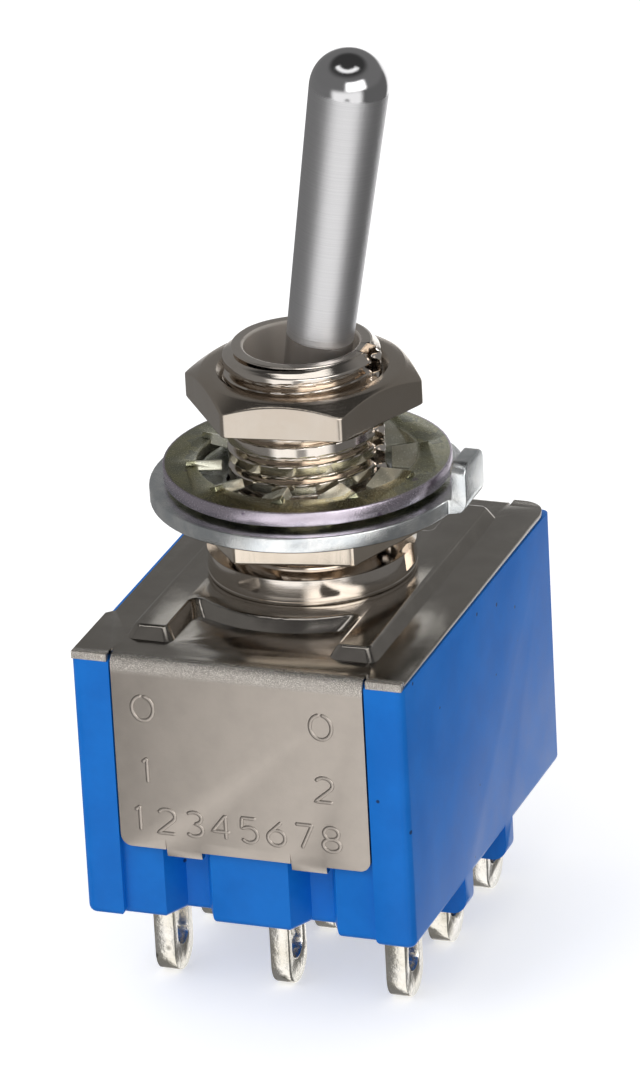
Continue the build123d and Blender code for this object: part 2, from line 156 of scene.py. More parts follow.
def ranged(tree, value, low, high, outLow=0.0, outHigh=1.0, smooth=True):
    node = tree.nodes.new("ShaderNodeMapRange")
    node.interpolation_type = "SMOOTHSTEP" if smooth else "LINEAR"
    tree.links.new(value, node.inputs[0])
    for index, number in zip((1, 2, 3, 4), (low, high, outLow, outHigh)):
        node.inputs[index].default_value = number
    return node.outputs[0]


def mixColour(tree, factor, first, second, blend="MIX"):
    node = tree.nodes.new("ShaderNodeMix")
    node.data_type = "RGBA"
    node.blend_type = blend
    for socket, value in ((node.inputs[0], factor), (node.inputs[6], first), (node.inputs[7], second)):
        if isinstance(value, (int, float, tuple)):
            socket.default_value = value
        else:
            tree.links.new(value, socket)
    return node.outputs[2]


# Object coordinates in millimetres.
def millimetres(tree):
    coords = tree.nodes.new("ShaderNodeTexCoord")
    scale = tree.nodes.new("ShaderNodeVectorMath")
    scale.operation = "SCALE"
    scale.inputs["Scale"].default_value = 1000.0
    tree.links.new(coords.outputs["Object"], scale.inputs[0])
    return scale.outputs[0]


def axisParts(tree, vector):
    split = tree.nodes.new("ShaderNodeSeparateXYZ")
    tree.links.new(vector, split.inputs[0])
    return split.outputs[0], split.outputs[1], split.outputs[2]


def newGroup(name, inputs, outputs):
    group = bpy.data.node_groups.new(name, "ShaderNodeTree")
    for label, kind, value in inputs:
        socket = group.interface.new_socket(name=label, in_out="INPUT", socket_type=kind)
        if value is not None:
            socket.default_value = value
    for label, kind in outputs:
        group.interface.new_socket(name=label, in_out="OUTPUT", socket_type=kind)
    return group, group.nodes.new("NodeGroupInput"), group.nodes.new("NodeGroupOutput")


def useGroup(tree, group, **links):
    node = tree.nodes.new("ShaderNodeGroup")
    node.node_tree = group
    for key, value in links.items():
        socket = node.inputs[key]
        if isinstance(value, (int, float, tuple)):
            socket.default_value = value
        else:
            tree.links.new(value, socket)
    return node


# Small round spots scattered over a surface, each of its own size.
spots, spotsIn, spotsOut = newGroup(
    "scatteredSpots",
    [("Vector", "NodeSocketVector", None), ("Scale", "NodeSocketFloat", 1.0), ("Size", "NodeSocketFloat", 0.1),
     ("Share", "NodeSocketFloat", 0.3)],
    [("Mask", "NodeSocketFloat")],
)
cells = addNode(spots, "ShaderNodeTexVoronoi")
spots.links.new(spotsIn.outputs["Vector"], cells.inputs["Vector"])
spots.links.new(spotsIn.outputs["Scale"], cells.inputs["Scale"])
cellTone = axisParts(spots, cells.outputs["Color"])
chosen = math2(spots, "LESS_THAN", cellTone[0], spotsIn.outputs["Share"])
spotSize = math2(spots, "MULTIPLY", spotsIn.outputs["Size"], math2(spots, "ADD", cellTone[1], 0.25))
inside = math2(spots, "SUBTRACT", 1.0, math2(spots, "DIVIDE", cells.outputs["Distance"], spotSize), clamp=True)
soft = ranged(spots, inside, 0.0, 0.5)
spots.links.new(math2(spots, "MULTIPLY", soft, chosen), spotsOut.inputs["Mask"])

# Tool marks: fine lines that follow one coordinate, broken up a little along their length.
toolMarks, marksIn, marksOut = newGroup(
    "toolMarks",
    [("Coordinate", "NodeSocketFloat", 0.0), ("Vector", "NodeSocketVector", None),
     ("Fineness", "NodeSocketFloat", 10.0)],
    [("Height", "NodeSocketFloat"), ("Tone", "NodeSocketFloat")],
)
along = math2(toolMarks, "MULTIPLY", marksIn.outputs["Coordinate"], marksIn.outputs["Fineness"])
drift = addNode(toolMarks, "ShaderNodeTexNoise", Scale=0.35, Detail=2.0)
toolMarks.links.new(marksIn.outputs["Vector"], drift.inputs["Vector"])
alongDrift = math2(toolMarks, "ADD", along, math2(toolMarks, "MULTIPLY", drift.outputs["Fac"], 2.0))
lines = addNode(toolMarks, "ShaderNodeTexNoise", noise_dimensions="1D", Scale=1.0, Detail=6.0, Roughness=0.72)
toolMarks.links.new(alongDrift, lines.inputs["W"])
toolMarks.links.new(lines.outputs["Fac"], marksOut.inputs["Height"])
toolMarks.links.new(ranged(toolMarks, lines.outputs["Fac"], 0.35, 0.65), marksOut.inputs["Tone"])

# Cloudy change of tone, from large patches down to fine grain.
mottle, mottleIn, mottleOut = newGroup(
    "mottle",
    [("Vector", "NodeSocketVector", None), ("Scale", "NodeSocketFloat", 1.0), ("Grain", "NodeSocketFloat", 12.0)],
    [("Cloud", "NodeSocketFloat"), ("Grain", "NodeSocketFloat")],
)
cloud = addNode(mottle, "ShaderNodeTexNoise", Detail=4.0, Roughness=0.6)
mottle.links.new(mottleIn.outputs["Vector"], cloud.inputs["Vector"])
mottle.links.new(mottleIn.outputs["Scale"], cloud.inputs["Scale"])
grainNoise = addNode(mottle, "ShaderNodeTexNoise", Detail=3.0, Roughness=0.7)
mottle.links.new(mottleIn.outputs["Vector"], grainNoise.inputs["Vector"])
mottle.links.new(mottleIn.outputs["Grain"], grainNoise.inputs["Scale"])
mottle.links.new(ranged(mottle, cloud.outputs["Fac"], 0.3, 0.7), mottleOut.inputs["Cloud"])
mottle.links.new(ranged(mottle, grainNoise.outputs["Fac"], 0.3, 0.7), mottleOut.inputs["Grain"])


def newMaterial(name, metallic=0.0, roughness=0.4, **sockets):
    material = bpy.data.materials.new(name)
    material.use_nodes = True
    tree = material.node_tree
    shader = tree.nodes["Principled BSDF"]
    shader.inputs["Metallic"].default_value = metallic
    shader.inputs["Roughness"].default_value = roughness
    for label, value in sockets.items():
        shader.inputs[label.replace("_", " ")].default_value = value
    return material, tree, shader


def bumped(tree, shader, height, depth, strength=1.0):
    bump = tree.nodes.new("ShaderNodeBump")
    bump.inputs["Strength"].default_value = strength
    bump.inputs["Distance"].default_value = depth
    tree.links.new(height, bump.inputs["Height"])
    tree.links.new(bump.outputs[0], shader.inputs["Normal"])
    return bump


def radiusOf(tree, x, y):
    return math2(tree, "SQRT", math2(tree, "ADD", math2(tree, "MULTIPLY", x, x), math2(tree, "MULTIPLY", y, y)))


print("shader groups ready")

# Colours in the dictionaries are display values, lengths millimetres and angles degrees.
caseLook = {"edge": 0.09 * mm, "blue": (20, 124, 222), "deep": (14, 115, 211), "speck": (28, 62, 110)}


def mouldedBlue():
    material, tree, shader = newMaterial("mouldedBlue", 0.0, 0.33)
    shader.inputs["Specular IOR Level"].default_value = 0.2
    where = millimetres(tree)
    tone = useGroup(tree, mottle, Vector=where, Scale=0.45, Grain=26.0)
    base = mixColour(tree, tone.outputs["Cloud"], tint(*caseLook["deep"]), tint(*caseLook["blue"]))
    dust = useGroup(tree, spots, Vector=where, Scale=0.95, Size=0.09, Share=0.28)
    base = mixColour(tree, dust.outputs["Mask"], base, tint(*caseLook["speck"]))
    tree.links.new(base, shader.inputs["Base Color"])
    rough = math2(tree, "ADD", math2(tree, "MULTIPLY", tone.outputs["Cloud"], 0.07), 0.28)
    tree.links.new(rough, shader.inputs["Roughness"])
    sag = addNode(tree, "ShaderNodeTexNoise", Scale=0.28, Detail=1.0)
    tree.links.new(where, sag.inputs["Vector"])
    height = math2(tree, "ADD", math2(tree, "MULTIPLY", sag.outputs["Fac"], 6.0),
                   math2(tree, "MULTIPLY", tone.outputs["Grain"], 0.05))
    height = math2(tree, "SUBTRACT", height, math2(tree, "MULTIPLY", dust.outputs["Mask"], 0.5))
    bumped(tree, shader, height, 0.012 * mm, 0.6)
    return material


caseBlue = mouldedBlue()
place(easedCopy("case", caseLook["edge"], 3), "root", caseBlue, "case")
print("case done")

frameLook = {
    "edge": 0.07 * mm, "plate": (176, 170, 162), "leg": (180, 171, 162), "legFace": 8.62,
    "foldReach": (8.25, 8.5), "foldZ": (-5.75, -5.45), "plateRough": 0.13, "legRough": 0.33,
}


def satinSteel():
    material, tree, shader = newMaterial("satinSteel", 1.0, 0.2)
    where = millimetres(tree)
    x, y, z = axisParts(tree, where)
    reach = math2(tree, "ABSOLUTE", y)
    leg = ranged(tree, reach, frameLook["legFace"] - 0.12, frameLook["legFace"])
    fold = math2(tree, "MULTIPLY", ranged(tree, reach, *frameLook["foldReach"]),
                 ranged(tree, z, *frameLook["foldZ"]))
    tone = useGroup(tree, mottle, Vector=where, Scale=0.8, Grain=34.0)
    base = mixColour(tree, leg, tint(*frameLook["plate"]), tint(*frameLook["leg"]))
    shade = math2(tree, "ADD", math2(tree, "MULTIPLY", tone.outputs["Cloud"], 0.09), 0.91)
    gain = tree.nodes.new("ShaderNodeVectorMath")
    gain.operation = "SCALE"
    tree.links.new(base, gain.inputs[0])
    tree.links.new(shade, gain.inputs["Scale"])
    # Painted highlight: along the bend from plate to leg the colour is lifted to near white in grain flecks.
    paintedFoldGlint = math2(tree, "MULTIPLY", fold, ranged(tree, tone.outputs["Grain"], 0.35, 0.8))
    bright = mixColour(tree, paintedFoldGlint, gain.outputs[0], tint(250, 244, 236))
    tree.links.new(bright, shader.inputs["Base Color"])
    rough = math2(tree, "ADD", frameLook["plateRough"],
                  math2(tree, "MULTIPLY", leg, frameLook["legRough"] - frameLook["plateRough"]))
    rough = math2(tree, "ADD", rough, math2(tree, "MULTIPLY", fold, 0.12))
    rough = math2(tree, "ADD", rough, math2(tree, "MULTIPLY", tone.outputs["Cloud"], 0.05))
    tree.links.new(rough, shader.inputs["Roughness"])
    wave = addNode(tree, "ShaderNodeTexNoise", Scale=0.5, Detail=1.5)
    tree.links.new(where, wave.inputs["Vector"])
    grain = math2(tree, "MULTIPLY", tone.outputs["Grain"],
                  math2(tree, "ADD", math2(tree, "MULTIPLY", fold, 0.9),
                        math2(tree, "ADD", math2(tree, "MULTIPLY", leg, 0.16), 0.03)))
    height = math2(tree, "ADD", grain, math2(tree, "MULTIPLY", wave.outputs["Fac"], 2.2))
    bumped(tree, shader, height, 0.012 * mm, 0.8)
    return material


frameSteel = satinSteel()
place(easedCopy("frame", frameLook["edge"], 3, 20), "root", frameSteel, "frame")
print("frame done")

# Plain numbers stamped on the front leg: two columns of two and one line below.
markLook = {
    "face": -8.70, "sink": 0.01, "step": 0.05, "taper": 0.06, "stroke": 0.085, "proud": 0.045,
    "height": 1.0, "width": 0.86,
    "columns": ((-3.80, ("0", "1")), (3.30, ("0", "2"))), "rows": (-7.05, -9.63),
    "line": "12345678", "lineZ": -11.66, "lineFrom": -4.2, "lineTo": 3.5,
}


# Arcs of an ellipse as points: centre, radii, first and last angle in degrees.
def arc(cx, cy, rx, ry, first, last, count=14):
    angle = np.radians(np.linspace(first, last, count))
    return np.stack([cx + rx * np.cos(angle), cy + ry * np.sin(angle)], axis=1)


def strokes(digit):
    shapes = {
        "0": [arc(0, 0, 0.5, 0.5, 90, 450, 32)],
        "1": [np.array([(-0.2, 0.32), (0.05, 0.5), (0.05, -0.5)])],
        "2": [np.vstack([arc(0, 0.22, 0.4, 0.28, 160, -40), [(-0.42, -0.5), (0.42, -0.5)]])],
        "3": [np.vstack([arc(0, 0.26, 0.36, 0.24, 150, -85), arc(0, -0.24, 0.4, 0.26, 85, -150)])],
        "4": [np.array([(0.2, -0.5), (0.2, 0.5), (-0.42, -0.18), (0.42, -0.18)])],
        "5": [np.vstack([[(0.38, 0.5), (-0.3, 0.5), (-0.34, 0.08)], arc(0, -0.18, 0.4, 0.32, 125, -150)])],
        "6": [np.vstack([[(0.28, 0.5)], arc(0.0, -0.18, 0.4, 0.32, 150, 510, 26)])],
        "7": [np.array([(-0.4, 0.5), (0.4, 0.5), (-0.12, -0.5)])],
        "8": [np.vstack([arc(0, 0.25, 0.34, 0.25, -90, 270, 22), arc(0, -0.24, 0.4, 0.26, 90, -270, 22)])],
    }
    return shapes[digit]


# A bead along a path: points evenly spaced by length, each with a half-round section across the path,
# sunk a little into the face and tapered to nothing at both ends.
def bead(name, path, cx, cz):
    step = np.hypot(*np.diff(path, axis=0).T)
    reach = np.concatenate([[0], np.cumsum(step)])
    even = np.linspace(0, reach[-1], max(8, int(reach[-1] / markLook["step"])))
    x = np.interp(even, reach, path[:, 0])
    z = np.interp(even, reach, path[:, 1])
    dx, dz = np.gradient(x), np.gradient(z)
    size = np.hypot(dx, dz) + 1e-9
    fade = np.clip(np.minimum(even, reach[-1] - even) / markLook["taper"], 0.02, 1.0) ** 0.5
    turn = np.linspace(0, 2 * np.pi, 12, endpoint=False)
    across = np.cos(turn)[None, :] * markLook["stroke"] * fade[:, None]
    out = np.sin(turn)[None, :] * markLook["proud"] * fade[:, None]
    points = np.empty((len(even), len(turn), 3))
    points[..., 0] = cx + x[:, None] - across * (dz / size)[:, None]
    points[..., 1] = markLook["face"] - out + markLook["sink"]
    points[..., 2] = cz + z[:, None] + across * (dx / size)[:, None]
    return gridPiece(name, points * mm, wrapV=True)


def stampedNumbers():
    made = []
    spots = [(x, z, digit) for x, digits in markLook["columns"] for z, digit in zip(markLook["rows"], digits)]
    places = np.linspace(markLook["lineFrom"], markLook["lineTo"], len(markLook["line"]))
    spots += [(x, markLook["lineZ"], digit) for x, digit in zip(places, markLook["line"])]
    size = np.array([markLook["width"], markLook["height"]])
    for index, (x, z, digit) in enumerate(spots):
        for path in strokes(digit):
            made.append(bead("mark%02d" % index, path * size, x, z))
    work = bmesh.new()
    for piece in made:
        work.from_mesh(piece.data)
        bpy.data.objects.remove(piece)
    mesh = bpy.data.meshes.new("legNumbers")
    work.to_mesh(mesh)
    work.free()
    mesh.polygons.foreach_set("use_smooth", [True] * len(mesh.polygons))
    numbers = bpy.data.objects.new("legNumbers", mesh)
    bpy.context.scene.collection.objects.link(numbers)
    return numbers


place(stampedNumbers(), "root", frameSteel)
print("numbers done")

bushingLook = {
    "major": 3.0, "depth": 0.34, "pitch": 0.75, "neck": 2.75, "collar": 4.0, "top": 4.67, "collarTop": -3.41,
    "platform": -4.48, "foot": -5.13, "mouth": 2.18, "seat": 2.40, "pivot": 0.27, "keyHalf": 0.5, "keyFloor": 2.5,
    "nickFloor": 3.7, "nickLow": -4.16, "around": 420, "burr": 0.12,
}


# Profile rows (height, radius, key floor or 0, thread share), from the foot's bore round the outside
# and back down through the mouth.
def bushingRows():
    b = bushingLook
    rows = [(b["foot"], b["seat"], 0, 0), (b["foot"], 3.75, 0, 0), (b["foot"] + 0.35, 3.75, 0, 0),
            (b["foot"] + 0.35, 3.2, 0, 0), (b["platform"], 3.2, 0, 0)]
    low, high = b["platform"], b["collarTop"]
    ease = 0.06
    turn = np.radians(np.linspace(0, 90, 5))
    rows += [(low, b["collar"] - 0.1, 0, 0)]
    rows += [(low + ease * (1 - math.cos(a)), b["collar"] - ease * (1 - math.sin(a)), 0, 0) for a in turn]
    rows += [(low + 0.13, b["collar"], 0, 0), (low + 0.15, b["collar"] - 0.025, 0, 0),
             (low + 0.17, b["collar"] - 0.025, 0, 0), (low + 0.19, b["collar"], 0, 0)]
    rows += [(b["nickLow"], b["collar"], 0, 0), (b["nickLow"], b["collar"], b["nickFloor"], 0)]
    rows += [(high - ease * math.sin(a), b["collar"] - ease * (1 - math.cos(a)), b["nickFloor"], 0)
             for a in turn[::-1]]
    rows += [(high, 3.72, b["nickFloor"], 0), (high, b["neck"] + 0.05, b["keyFloor"], 0),
             (high + 0.05, b["neck"], b["keyFloor"], 0), (high + 0.2, b["neck"], b["keyFloor"], 0)]
    start = high + 0.2
    for z in np.arange(start + 0.02, b["top"] - 0.02, 0.03):
        rows.append((float(z), b["major"], b["keyFloor"], 1))
    for a in np.radians(np.linspace(0, 90, 5)):
        rows.append((b["top"] - 0.05 + 0.05 * math.sin(a), 2.66 - 0.05 * (1 - math.cos(a)), b["keyFloor"], 0))
    for a in np.radians(np.linspace(0, 90, 5)):
        rows.append((b["top"] - 0.12 + 0.12 * math.cos(a), b["mouth"] + 0.12 - 0.12 * math.sin(a), 0, 0))
    seatTop = b["pivot"] + math.sqrt(b["seat"] ** 2 - b["mouth"] ** 2)
    rows += [(z, b["mouth"], 0, 0) for z in np.linspace(b["top"] - 0.3, seatTop, 8)]
    first = math.asin((seatTop - b["pivot"]) / b["seat"])
    rows += [(b["pivot"] + b["seat"] * math.sin(a), b["seat"] * math.cos(a), 0, 0)
             for a in np.linspace(first, 0, 8)]
    rows += [(b["foot"] + 0.02, b["seat"], 0, 0)]
    return np.array(rows, dtype=float)


# The outside at an angle and a height: a cylinder, cut by a rounded V that climbs one pitch a turn,
# held inside the end's chamfer. Near the keyway the crests are torn up a little.
def bushingSurface():
    b = bushingLook
    rows = bushingRows()
    z, radius, floor, share = rows.T
    half = math.asin(b["keyHalf"] / b["major"])
    angle = np.concatenate([np.linspace(half, 2 * np.pi - half, b["around"]), np.full(18, 0.0)])
    inKey = np.arange(len(angle)) >= b["around"]
    angle[inKey] = np.linspace(-half, half, 20)[1:-1]
    turns = (z[None, :] / b["pitch"] - angle[:, None] / (2 * np.pi)) % 1.0
    valley = np.clip((1 - np.abs(2 * turns - 1)) * 2.1 - 1.0, 0, 1)
    valley = valley * valley * (3 - 2 * valley)
    taper = np.clip((z - (b["collarTop"] + 0.2)) / 0.35, 0, 1)[None, :]
    crest = b["neck"] + (b["major"] - b["neck"]) * taper
    chamfer = b["major"] + 0.02 - np.clip(z - (b["top"] - 0.36), 0, 1)[None, :]
    cut = np.minimum(crest, chamfer) - b["depth"] * valley * taper
    rag = np.exp(-(np.minimum(angle, 2 * np.pi - angle) % (2 * np.pi) - half).clip(0) / 0.035)
    noise = np.sin(z * 41.0) * np.sin(z * 17.3 + 1.1) + 0.5 * np.sin(z * 73.0 + 0.4)
    cut = cut + b["burr"] * (rag * (~inKey))[:, None] * noise[None, :] * (1 - valley)
    cut = np.minimum(cut, b["major"])
    full = np.where(share[None, :] > 0, cut, radius[None, :])
    x = full * np.cos(angle)[:, None]
    y = full * np.sin(angle)[:, None]
    across = np.linspace(0, 1, 18)
    edgeY = b["keyHalf"]
    boxX = np.interp(across, [0, 0.3, 0.7, 1], [1, 0, 0, 1])
    boxY = np.interp(across, [0, 0.3, 0.7, 1], [-edgeY, -edgeY, edgeY, edgeY])
    wall = np.sqrt(np.maximum(full[-18:] ** 2 - edgeY ** 2, 0))
    keyX = floor[None, :] + (wall - floor[None, :]) * boxX[:, None]
    keyed = (floor[None, :] > 0) & (wall > floor[None, :])
    x[-18:] = np.where(keyed, keyX, x[-18:])
    y[-18:] = np.where(keyed, boxY[:, None], y[-18:])
    points = np.stack([x, y, np.broadcast_to(z[None, :], x.shape)], axis=-1)
    return gridPiece("threadedBushing", points * mm, wrapU=True, wrapV=True)


def brightNickel(name, colour, roughness, fineness, depth, radial=False, warm=(170, 146, 118)):
    material, tree, shader = newMaterial(name, 1.0, roughness)
    where = millimetres(tree)
    x, y, z = axisParts(tree, where)
    across = radiusOf(tree, x, y) if radial else z
    marks = useGroup(tree, toolMarks, Coordinate=across, Vector=where, Fineness=fineness)
    tone = useGroup(tree, mottle, Vector=where, Scale=0.9, Grain=30.0)
    base = mixColour(tree, math2(tree, "MULTIPLY", tone.outputs["Cloud"], 0.12), tint(*colour), tint(*warm))
    pits = useGroup(tree, spots, Vector=where, Scale=2.6, Size=0.12, Share=0.22)
    base = mixColour(tree, math2(tree, "MULTIPLY", pits.outputs["Mask"], 0.55), base, tint(60, 54, 48))
    tree.links.new(base, shader.inputs["Base Color"])
    rough = math2(tree, "ADD", roughness, math2(tree, "MULTIPLY", marks.outputs["Tone"], 0.06))
    tree.links.new(rough, shader.inputs["Roughness"])
    height = math2(tree, "ADD", marks.outputs["Height"], math2(tree, "MULTIPLY", tone.outputs["Grain"], 0.12))
    bumped(tree, shader, height, depth, 0.8)
    bore = ranged(tree, radiusOf(tree, x, y), 2.22, 2.32, 0.3, 1.0)  # the dull bore shows its own colour
    tree.links.new(bore, shader.inputs["Metallic"])
    return material


polishedNickel = brightNickel("polishedNickel", (226, 218, 209), 0.06, 13.0, 0.0010 * mm)
turned = bushingSurface()
autoSmooth(turned, 38)
place(turned, "root", polishedNickel, "bushing")
print("bushing done")

nutLook = {
    "flats": 8.0, "tall": 1.4, "bore": 3.05, "chamferR": 3.85, "chamfer": 32, "blend": 70, "around": 720,
    "lower": (-2.81, 10.8), "upper": (2.3, 8.0),
}


# Hexagon radius by angle, from a high power mean of its six directions, so the corners are eased;
# then the smaller of that and a cone, also eased, gives the chamfer's arcs.
def hexNut(name, base, turn):
    n = nutLook
    angle = np.linspace(0, 2 * np.pi, n["around"], endpoint=False)
    sides = np.radians(np.arange(6) * 60 + turn + 30)
    facing = np.clip(np.cos(angle[:, None] - sides[None, :]), 0, None)
    flat = n["flats"] / 2 / (facing ** n["blend"]).sum(axis=1) ** (1 / n["blend"])
    top = base + n["tall"]
    ease = 0.05
    low = ease * (1 - np.cos(np.radians(np.linspace(0, 90, 4))))
    z = np.concatenate([base + low, np.linspace(base + 0.1, top - 0.03, 40), [top]])
    shy = np.concatenate([ease * (1 - np.sin(np.radians(np.linspace(0, 90, 4)))), np.zeros(41)])
    cone = n["chamferR"] + (top - z) / math.tan(math.radians(n["chamfer"]))
    wide, tight = np.broadcast_arrays(flat[:, None], cone[None, :])
    gap = 0.035
    outer = 0.5 * (wide + tight - np.sqrt((wide - tight) ** 2 + gap ** 2)) - shy[None, :]
    inner = np.array([(top, n["bore"] + 0.35), (top, n["bore"] + 0.22), (top - 0.22, n["bore"]),
                      (base + 0.22, n["bore"]), (base, n["bore"] + 0.22), (base, n["bore"] + 0.5)])
    allZ = np.concatenate([np.broadcast_to(z, outer.shape), np.broadcast_to(inner[:, 0], (len(angle), 6))], axis=1)
    allR = np.concatenate([outer, np.broadcast_to(inner[:, 1], (len(angle), 6))], axis=1)
    points = np.stack([allR * np.cos(angle)[:, None], allR * np.sin(angle)[:, None], allZ], axis=-1)
    piece = gridPiece(name, points * mm, wrapU=True, wrapV=True)
    autoSmooth(piece, 40)
    return piece


nutNickel = brightNickel("nutNickel", (220, 208, 193), 0.12, 9.0, 0.003 * mm, radial=True)
dullNickel = brightNickel("dullNickel", (194, 184, 172), 0.15, 9.0, 0.003 * mm, radial=True)
place(hexNut("hexNutLower", *nutLook["lower"]), "lower_nut", nutNickel, "lower_nut")
place(hexNut("hexNutUpper", *nutLook["upper"]), "upper_nut", dullNickel, "upper_nut")
print("nuts done")

ringLook = {"edge": 0.16 * mm, "zinc": (242, 243, 242), "shade": (216, 220, 222)}
washerLook = {"edge": 0.07 * mm, "olive": (148, 149, 130), "lilac": (206, 196, 208), "gold": (176, 173, 138),
              "mauve": (112, 84, 120), "paintedToothSheen": (222, 221, 206), "rim": 5.44, "root": 4.2}


def brightZinc():
    material, tree, shader = newMaterial("brightZinc", 1.0, 0.2)
    where = millimetres(tree)
    tone = useGroup(tree, mottle, Vector=where, Scale=1.1, Grain=22.0)
    base = mixColour(tree, tone.outputs["Cloud"], tint(*ringLook["shade"]), tint(*ringLook["zinc"]))
    tree.links.new(base, shader.inputs["Base Color"])
    rough = math2(tree, "ADD", 0.17, math2(tree, "MULTIPLY", tone.outputs["Cloud"], 0.1))
    tree.links.new(rough, shader.inputs["Roughness"])
    bumped(tree, shader, tone.outputs["Grain"], 0.004 * mm, 0.5)
    return material


def passivatedZinc():
    material, tree, shader = newMaterial("passivatedZinc", 1.0, 0.24)
    where = millimetres(tree)
    x, y, z = axisParts(tree, where)
    tone = useGroup(tree, mottle, Vector=where, Scale=0.55, Grain=16.0)
    film = math2(tree, "FRACT", math2(tree, "MULTIPLY", tone.outputs["Cloud"], 1.4))
    base = mixColour(tree, film, tint(*washerLook["olive"]), tint(*washerLook["gold"]))
    rim = ranged(tree, radiusOf(tree, x, y), washerLook["rim"] - 0.05, washerLook["rim"])
    base = mixColour(tree, rim, base, tint(*washerLook["lilac"]))
    flecks = useGroup(tree, spots, Vector=where, Scale=1.7, Size=0.2, Share=0.25)
    base = mixColour(tree, math2(tree, "MULTIPLY", flecks.outputs["Mask"], 0.6), base, tint(*washerLook["mauve"]))
    # Painted reflection: the inner teeth get a pale colour and less metal, so they read as bright facets.
    toothSheenMask = ranged(tree, radiusOf(tree, x, y), washerLook["root"] + 0.15, washerLook["root"] - 0.1)
    base = mixColour(tree, math2(tree, "MULTIPLY", toothSheenMask, 0.8), base, tint(*washerLook["paintedToothSheen"]))
    tree.links.new(base, shader.inputs["Base Color"])
    tree.links.new(math2(tree, "SUBTRACT", 1.0, math2(tree, "MULTIPLY", toothSheenMask, 0.45)), shader.inputs["Metallic"])
    rough = math2(tree, "ADD", 0.2, math2(tree, "MULTIPLY", tone.outputs["Grain"], 0.08))
    tree.links.new(rough, shader.inputs["Roughness"])
    bumped(tree, shader, tone.outputs["Grain"], 0.005 * mm, 0.5)
    return material


place(easedCopy("locating_ring", ringLook["edge"], 3), "root", brightZinc(), "locating_ring")
place(easedCopy("lock_washer", washerLook["edge"], 2), "root", passivatedZinc(), "lock_washer")
print("washers done")

leverLook = {
    "tilt": 9.4, "pivot": 0.27, "long": 16.5, "tip": 1.5, "mouthR": 1.27, "rootR": 1.2, "mouthL": 4.4,
    "ball": 2.35, "flat": 2.0, "tailL": 7.45, "tailNeck": 0.6, "tailBall": 0.9, "around": 160,
    "steel": (206, 205, 206), "polishTip": 15.1, "polishMouth": 4.75,
}


# The lever is one profile, radius by distance from the pivot, carried round its tilted axis;
# the ball's two flats are cut square to the poles.
def leverSurface():
    k = leverLook
    ballJoin = math.sqrt(k["ball"] ** 2 - k["rootR"] ** 2)
    neckJoin = math.sqrt(k["ball"] ** 2 - k["tailNeck"] ** 2)
    tailAngles = np.linspace(-math.pi / 2, math.acos(k["tailNeck"] / k["tailBall"]), 12)
    tail = np.stack([k["tailBall"] * np.cos(tailAngles), -k["tailL"] + k["tailBall"] * np.sin(tailAngles)], axis=1)
    first, last = -math.atan2(neckJoin, k["tailNeck"]), math.atan2(ballJoin, k["rootR"])
    ballAngles = np.linspace(first, last, 28)
    ball = k["ball"] * np.stack([np.cos(ballAngles), np.sin(ballAngles)], axis=1)
    shaft = np.array([(k["mouthR"] - 0.02, k["mouthL"] - 0.6), (k["mouthR"], k["mouthL"])])
    body = np.stack([np.linspace(k["mouthR"], k["tip"], 30),
                     np.linspace(k["mouthL"], k["long"] - k["tip"], 30)], axis=1)
    dome = np.radians(np.linspace(0, 90, 20))
    tip = np.stack([k["tip"] * np.cos(dome), k["long"] - k["tip"] + k["tip"] * np.sin(dome)], axis=1)
    profile = np.vstack([tail, ball, shaft, body[1:], tip[1:]])
    angle = np.linspace(0, 2 * np.pi, k["around"], endpoint=False)
    x = profile[None, :, 0] * np.cos(angle)[:, None]
    y = profile[None, :, 0] * np.sin(angle)[:, None]
    y = np.clip(y, -k["flat"], k["flat"])
    s = np.broadcast_to(profile[None, :, 1], x.shape)
    lean = math.radians(k["tilt"])
    points = np.stack([x * math.cos(lean) + s * math.sin(lean), y,
                       k["pivot"] - x * math.sin(lean) + s * math.cos(lean)], axis=-1)
    return gridPiece("leverStick", points * mm, wrapU=True)


def brushedSteel():
    material, tree, shader = newMaterial("brushedLever", 1.0, 0.3, Anisotropic=0.55)
    where = millimetres(tree)
    x, y, z = axisParts(tree, where)
    lean = math.radians(leverLook["tilt"])
    along = math2(tree, "ADD", math2(tree, "MULTIPLY", x, math.sin(lean)),
                  math2(tree, "MULTIPLY", math2(tree, "SUBTRACT", z, leverLook["pivot"]), math.cos(lean)))
    marks = useGroup(tree, toolMarks, Coordinate=along, Vector=where, Fineness=14.0)
    tip = ranged(tree, along, leverLook["polishTip"] - 0.15, leverLook["polishTip"])
    band = ranged(tree, along, leverLook["polishMouth"] + 0.1, leverLook["polishMouth"])
    polished = math2(tree, "MAXIMUM", tip, band)
    brushed = math2(tree, "SUBTRACT", 1.0, polished)
    tone = useGroup(tree, mottle, Vector=where, Scale=0.7, Grain=30.0)
    lift = math2(tree, "MULTIPLY", marks.outputs["Tone"], math2(tree, "MULTIPLY", brushed, 0.16))
    base = mixColour(tree, lift, tint(*leverLook["steel"]), tint(244, 243, 243))
    tree.links.new(base, shader.inputs["Base Color"])
    rough = math2(tree, "ADD", 0.07, math2(tree, "MULTIPLY", brushed, 0.27))
    tree.links.new(rough, shader.inputs["Roughness"])
    height = math2(tree, "ADD", math2(tree, "MULTIPLY", marks.outputs["Height"], brushed),
                   math2(tree, "MULTIPLY", tone.outputs["Grain"], 0.06))
    bumped(tree, shader, height, 0.010 * mm, 0.8)
    return material


lever = leverSurface()
autoSmooth(lever, 40)
place(lever, "lever", brushedSteel(), "lever")
print("lever done")

lugLook = {"edge": 0.09 * mm, "silver": (238, 234, 227), "tarnish": (188, 176, 140), "spot": (70, 66, 52)}


